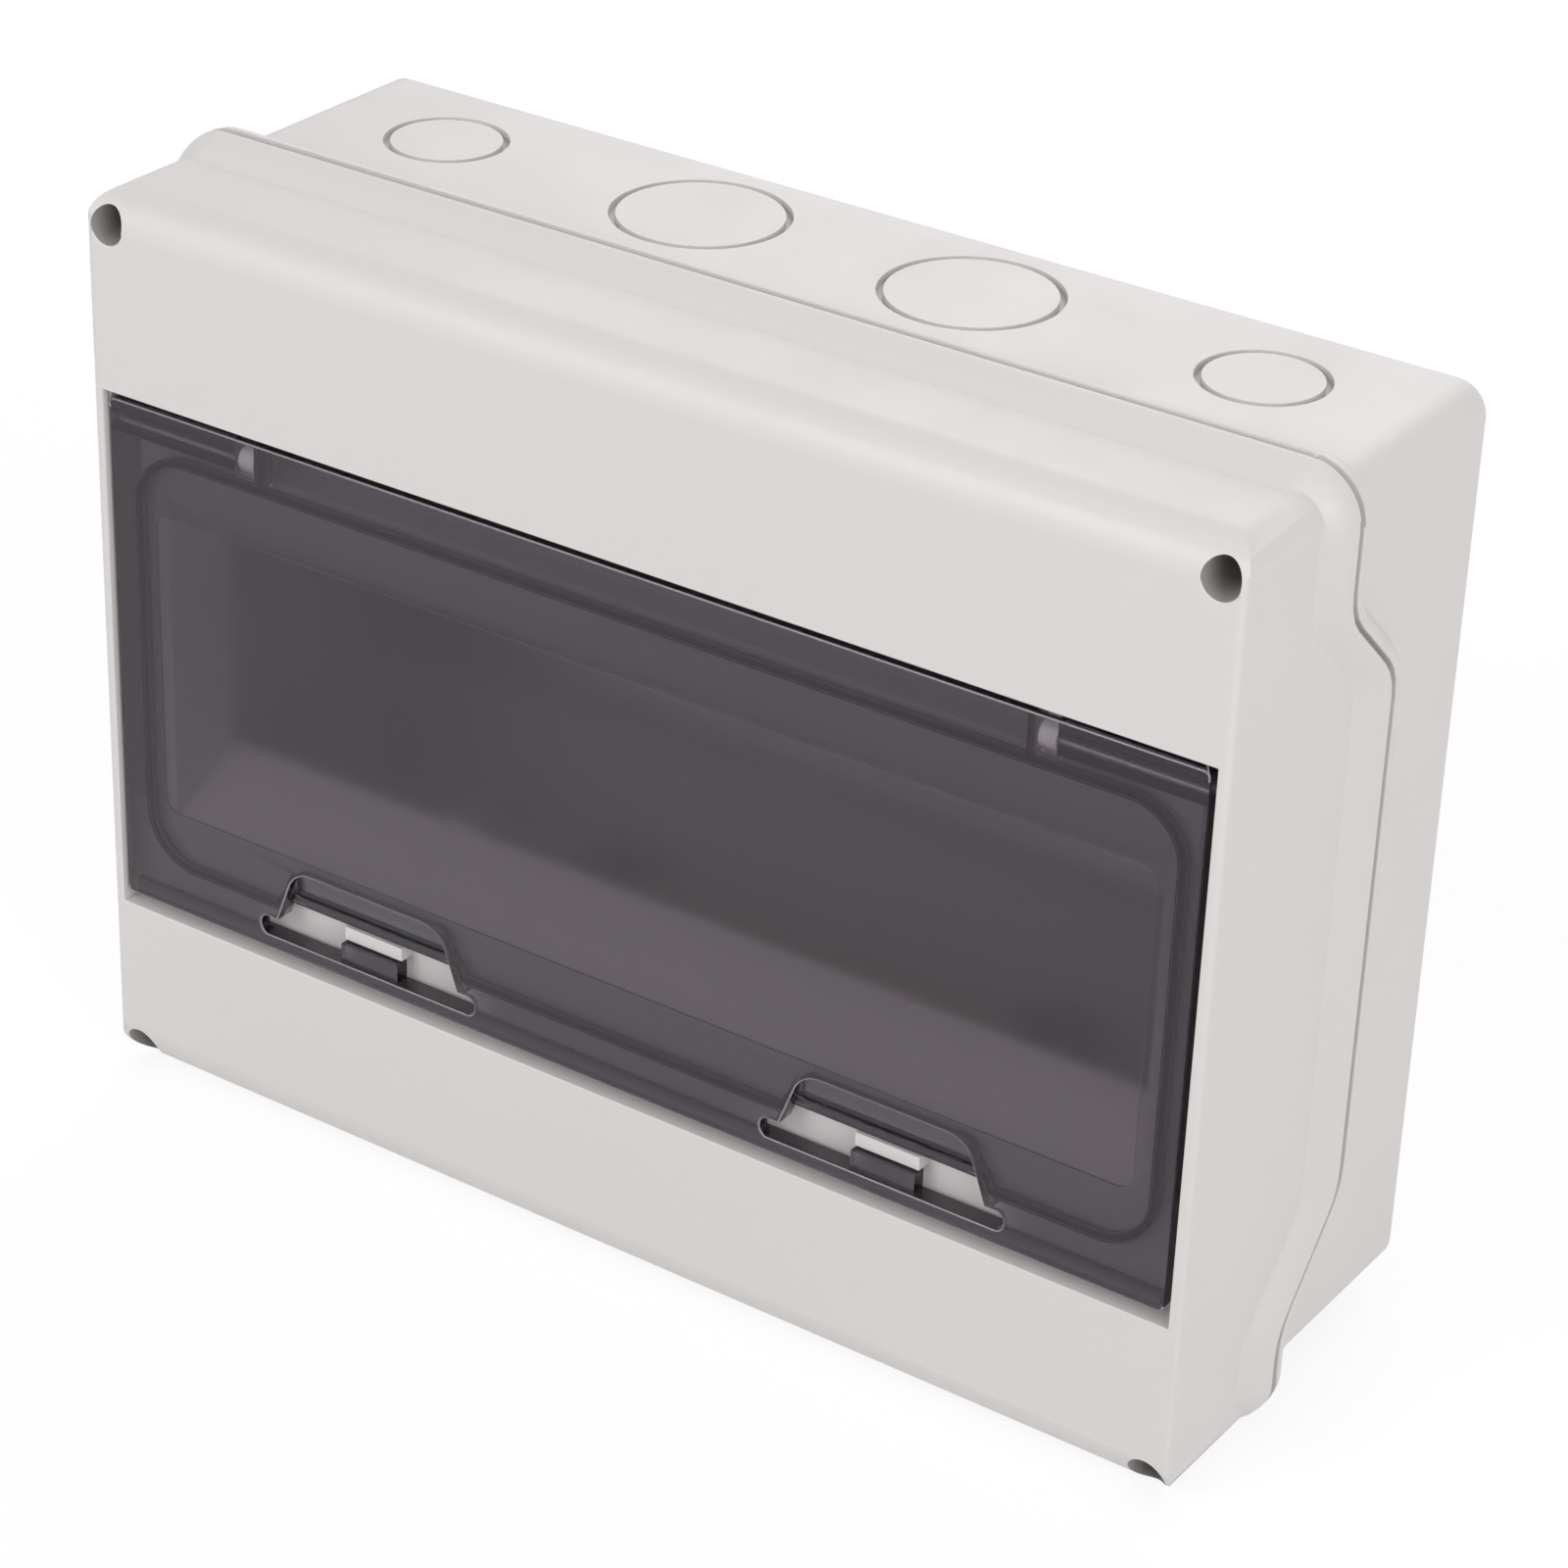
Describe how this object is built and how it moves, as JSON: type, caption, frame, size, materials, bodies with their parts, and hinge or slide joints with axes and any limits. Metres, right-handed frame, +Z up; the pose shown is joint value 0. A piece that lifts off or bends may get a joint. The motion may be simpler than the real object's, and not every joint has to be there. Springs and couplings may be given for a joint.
{
  "type": "hinged door distribution enclosure",
  "caption": "Weatherproof surface box for a row of rail modules, with a smoked transparent door hinged at its top edge and a screwed front cover.",
  "frame": {"origin": "centre of the base's back face, on the wall, midway between the four wall holes", "axes": "+X to the right as seen from the front, +Y into the wall, +Z up; the door faces -Y"},
  "size_m": [0.2558, 0.087, 0.1948],
  "materials": {
    "housing": "light grey moulded plastic, satin",
    "smoked_door": "smoked transparent polycarbonate, glossy",
    "rubber": "black foam rubber",
    "zinc": "zinc plated steel strip",
    "screw_steel": "zinc plated screws and pins",
    "brass": "extruded brass bar",
    "blue_plastic": "blue moulded plastic",
    "green_plastic": "green moulded plastic"
  },
  "bodies": {
    "base_body": {"base": "housing", "din_rail": "zinc", "rail_screws": "screw_steel", "neutral_bar": "brass", "neutral_bar_screws": "screw_steel", "neutral_holder_left": "blue_plastic", "neutral_holder_right": "blue_plastic", "neutral_holder_screws": "screw_steel", "earth_bar": "brass", "earth_bar_screws": "screw_steel", "earth_holder_left": "green_plastic", "earth_holder_right": "green_plastic", "earth_holder_screws": "screw_steel", "cover_gasket": "rubber"},
    "cover_body": {"cover": "housing", "cover_screws": "screw_steel", "cover_screw_washers": "rubber", "hinge_pin_left": "screw_steel", "hinge_pin_right": "screw_steel"},
    "door_body": {"door": "smoked_door", "door_seal": "rubber"}
  },
  "joints": [
    {"name": "cover_off", "type": "slide", "parent": "base_body", "child": "cover_body", "axis": [0, -1, 0], "range_m": [0, 0.12]},
    {"name": "door_hinge", "type": "hinge", "parent": "cover_body", "child": "door_body", "pos_m": [0, -0.0818, 0.0472], "axis": [-1, 0, 0], "range_deg": [0, 100]}
  ]
}
